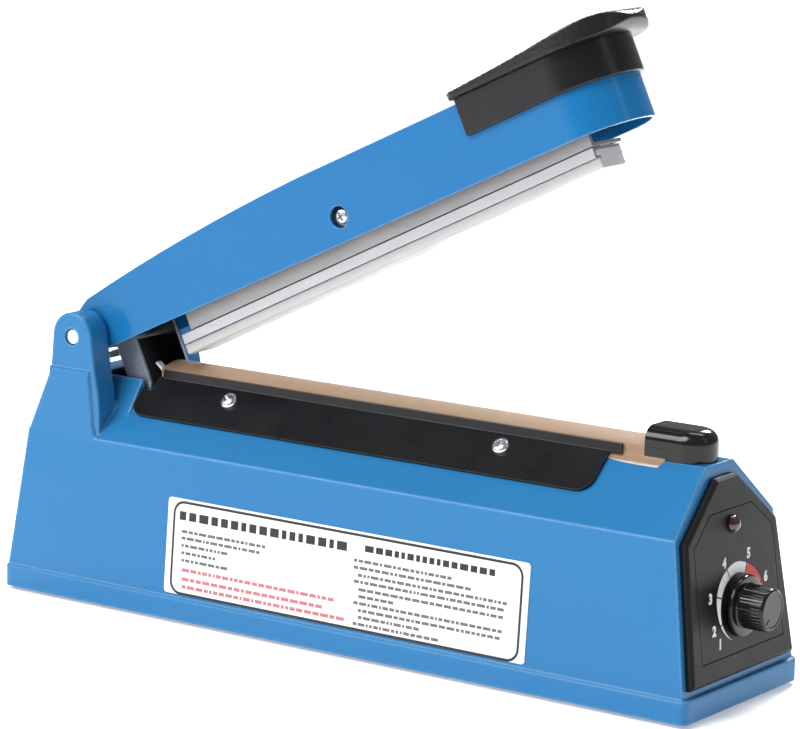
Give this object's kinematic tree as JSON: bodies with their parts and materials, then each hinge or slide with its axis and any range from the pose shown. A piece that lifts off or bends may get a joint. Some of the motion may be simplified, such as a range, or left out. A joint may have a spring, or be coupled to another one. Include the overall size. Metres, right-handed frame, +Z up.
{
  "type": "impulse heat sealer",
  "caption": "Hand impulse sealer: tapered housing, hinged spring-return arm with a rocking silicone press bar, cloth-covered heating strip, timer knob.",
  "frame": {"origin": "centre of the footprint, on the surface the rubber feet stand on", "axes": "+X towards the control panel end, +Y across to the side without the sticker, +Z up"},
  "size_m": [0.32, 0.0782, 0.2407],
  "materials": {
    "blue_plastic": "smooth glossy moulded plastic",
    "blue_paint": "glossy paint",
    "black_plastic": "satin",
    "black_paint": "semi-gloss",
    "red_lens": "gloss",
    "zinc_steel": "zinc plated",
    "spring_steel": "bright wire",
    "aluminium": "extruded",
    "silicone": "translucent white",
    "woven_cloth": "coated glass weave",
    "glass_tape": "glass tape",
    "resistance_ribbon": "bright ribbon",
    "brass": "machined",
    "nylon": "natural",
    "rubber": "matte",
    "sticker": "gloss film",
    "core_iron": "varnished laminations",
    "copper_winding": "taped winding",
    "board": "laminate",
    "capacitor": "sleeved can",
    "pot_metal": "pressed"
  },
  "bodies": {
    "base": {"base_plate": "zinc_steel", "base_screw_1": "zinc_steel", "base_screw_2": "zinc_steel", "base_screw_3": "zinc_steel", "base_screw_4": "zinc_steel", "board_bracket": "zinc_steel", "board_capacitor": "capacitor", "board_relay": "black_plastic", "body_shell": "blue_plastic", "circuit_board": "board", "control_panel": "black_plastic", "cord_grommet": "rubber", "core_screw_1": "zinc_steel", "core_screw_2": "zinc_steel", "element_clamp": "brass", "element_tab": "resistance_ribbon", "heating_element": "resistance_ribbon", "hinge_pin": "zinc_steel", "hinge_washer_far": "nylon", "hinge_washer_near": "nylon", "indicator_lens": "red_lens", "insulating_tape": "glass_tape", "label_sticker": "sticker", "plate_screw_far_1": "zinc_steel", "plate_screw_far_2": "zinc_steel", "plate_screw_near_1": "zinc_steel", "plate_screw_near_2": "zinc_steel", "ptfe_cloth": "woven_cloth", "retaining_plate_far": "black_paint", "retaining_plate_near": "black_paint", "return_spring": "spring_steel", "rubber_foot_1": "rubber", "rubber_foot_2": "rubber", "rubber_foot_3": "rubber", "rubber_foot_4": "rubber", "sealing_rail": "aluminium", "switch_body": "black_plastic", "switch_bracket": "zinc_steel", "terminal_cap": "black_plastic", "timer_nut": "zinc_steel", "timer_pot": "pot_metal", "transformer_coil": "copper_winding", "transformer_core": "core_iron"},
    "arm": {"arm_shell": "blue_paint", "grip_base": "black_plastic", "thumb_pad": "black_plastic", "hinge_sleeve": "zinc_steel", "lever_bracket": "zinc_steel", "stop_strap": "black_paint", "rocker_hanger": "zinc_steel", "rocker_screw": "zinc_steel", "rocker_nut": "zinc_steel"},
    "press_bar": {"bar_carrier": "aluminium", "bar_channel": "aluminium", "silicone_strip": "silicone"},
    "timer_dial": {"timer_knob": "black_plastic", "timer_shaft": "zinc_steel"},
    "limit_button": {"switch_button": "nylon"}
  },
  "joints": [
    {"name": "arm_hinge", "type": "hinge", "parent": "base", "child": "arm", "pos_m": [-0.1316, 0, 0.1018], "axis": [0, 1, 0], "range_deg": [0, 20.86], "stiffness_Nm_per_rad": 2, "springref_deg": -28.65, "deforming": ["return_spring"]},
    {"name": "press_bar_rock", "type": "hinge", "parent": "arm", "child": "press_bar", "pos_m": [-0.01517, 0, 0.15874], "axis": [0, 1, 0], "range_deg": [0, 5.12]},
    {"name": "timer_turn", "type": "hinge", "parent": "base", "child": "timer_dial", "pos_m": [0.15, 0, 0.0366], "axis": [-1, 0, 0], "range_deg": [0, 270]},
    {"name": "limit_button_slide", "type": "slide", "parent": "base", "child": "limit_button", "axis": [-1, 0, 0], "range_m": [0, 0.000905]}
  ],
  "couplings": [
    {"joint": "press_bar_rock", "follows": "arm_hinge", "ratio": 0.24486},
    {"joint": "limit_button_slide", "follows": "arm_hinge", "m_per_rad": 0.0024718}
  ]
}
